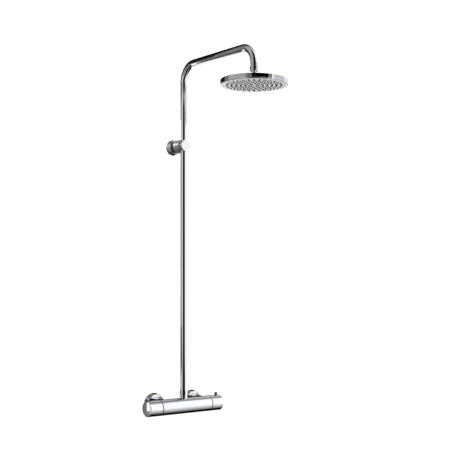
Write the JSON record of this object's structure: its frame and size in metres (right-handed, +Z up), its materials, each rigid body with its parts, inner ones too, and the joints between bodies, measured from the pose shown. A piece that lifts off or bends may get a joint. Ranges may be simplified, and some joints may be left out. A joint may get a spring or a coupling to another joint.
{
  "type": "rainfall shower column",
  "caption": "Wall-mounted thermostatic shower column: bar mixer with two handles, riser in a wall bracket, swivelling bent arm and round overhead shower on a ball joint.",
  "frame": {"origin": "on the wall plane, midway between the two wall inlets and level with the bar mixer's axis", "axes": "+Z up, +Y into the wall, +X to the right for someone facing the wall"},
  "size_m": [0.288, 0.536, 1.1445],
  "materials": {
    "chrome": "polished chrome plate on brass",
    "brass": "machined brass",
    "steel": "stainless steel",
    "zinc": "die-cast zinc",
    "copper": "turned copper",
    "black_plastic": "matt black ABS",
    "button_plastic": "matt dark grey ABS",
    "rubber": "matt rubber",
    "white_plastic": "moulded POM",
    "green_plastic": "moulded plastic",
    "face_plastic": "satin light grey ABS",
    "silicone": "dark grey silicone",
    "ceramic": "lapped alumina"
  },
  "bodies": {
    "column": {"s_unions": "brass", "inlet_strainers": "steel", "union_washers": "rubber", "union_nuts": "chrome", "union_covers": "chrome", "wall_rosettes": "chrome", "rosette_screws": "steel", "check_valve_bodies": "white_plastic", "hot_poppet_spring": "steel", "cold_poppet_spring": "steel", "mixer_body": "chrome", "thermostat_housing": "brass", "return_spring": "steel", "temp_stop_ring": "black_plastic", "flow_housing": "brass", "fixed_disc": "ceramic", "flow_seal": "rubber", "flow_stop_ring": "black_plastic", "outlet_nipple": "brass", "riser_seal": "rubber", "riser_nut": "chrome", "riser_tube": "chrome", "swivel_spigot": "brass", "swivel_o_rings": "rubber", "wall_plate": "zinc", "bracket_rose": "chrome", "bracket_grub_screws": "steel", "bracket_spacer": "black_plastic", "clamp_body": "chrome", "clamp_front": "chrome", "clamp_screws": "steel", "clamp_cover": "chrome", "clamp_liner": "white_plastic"},
    "flow_knob": {"flow_handle": "chrome", "flow_handle_screw": "steel", "flow_handle_cap": "chrome", "flow_spindle": "brass", "moving_disc": "ceramic"},
    "temp_knob": {"temp_handle": "chrome", "temp_handle_screw": "steel", "temp_handle_cap": "chrome", "thermostat_spindle": "brass", "stop_button_spring": "steel"},
    "safety_button": {"stop_button": "button_plastic"},
    "shuttle": {"regulating_sleeve": "white_plastic", "wax_element": "copper"},
    "hot_valve": {"hot_poppet": "white_plastic"},
    "cold_valve": {"cold_poppet": "white_plastic"},
    "arm": {"arm_tube": "chrome", "ball_stem": "chrome", "flow_restrictor": "green_plastic", "filter_washer": "rubber"},
    "lower_ring": {"lower_liner": "white_plastic"},
    "upper_ring": {"upper_liner": "white_plastic"},
    "head": {"head_neck": "chrome", "retaining_nut": "chrome", "head_shell": "chrome", "head_gasket": "rubber", "face_plate": "face_plastic", "nozzle_mat": "silicone"}
  },
  "joints": [
    {"name": "flow_turn", "type": "hinge", "parent": "column", "child": "flow_knob", "pos_m": [0, -0.065, 0], "axis": [1, 0, 0], "range_deg": [0, 90]},
    {"name": "temperature_turn", "type": "hinge", "parent": "column", "child": "temp_knob", "pos_m": [0, -0.065, 0], "axis": [1, 0, 0], "range_deg": [-150, 40]},
    {"name": "safety_button_push", "type": "slide", "parent": "temp_knob", "child": "safety_button", "axis": [0, 0, -1], "range_m": [0, 0.0025], "stiffness_N_per_m": 400, "springref_m": -0.003, "deforming": ["stop_button_spring"]},
    {"name": "shuttle_slide", "type": "slide", "parent": "column", "child": "shuttle", "axis": [1, 0, 0], "range_m": [-0.0007, 0.0003], "deforming": ["return_spring"]},
    {"name": "hot_valve_slide", "type": "slide", "parent": "column", "child": "hot_valve", "axis": [0, -1, 0], "range_m": [0, 0.0025], "stiffness_N_per_m": 60, "springref_m": -0.004, "deforming": ["hot_poppet_spring"]},
    {"name": "cold_valve_slide", "type": "slide", "parent": "column", "child": "cold_valve", "axis": [0, -1, 0], "range_m": [0, 0.0025], "stiffness_N_per_m": 60, "springref_m": -0.004, "deforming": ["cold_poppet_spring"]},
    {"name": "arm_swivel", "type": "hinge", "parent": "column", "child": "arm", "pos_m": [0, -0.065, 0.841], "axis": [0, 0, 1], "range_deg": [-45, 45]},
    {"name": "head_turn", "type": "hinge", "parent": "arm", "child": "lower_ring", "pos_m": [0, -0.421, 1.004], "axis": [0, 0, 1], "continuous": true},
    {"name": "head_tilt_x", "type": "hinge", "parent": "lower_ring", "child": "upper_ring", "pos_m": [0, -0.421, 1.004], "axis": [1, 0, 0], "range_deg": [-15, 15]},
    {"name": "head_tilt_y", "type": "hinge", "parent": "upper_ring", "child": "head", "pos_m": [0, -0.421, 1.004], "axis": [0, 1, 0], "range_deg": [-15, 15]}
  ],
  "couplings": [
    {"joint": "shuttle_slide", "follows": "temperature_turn", "m_per_rad": 0.00023873}
  ]
}
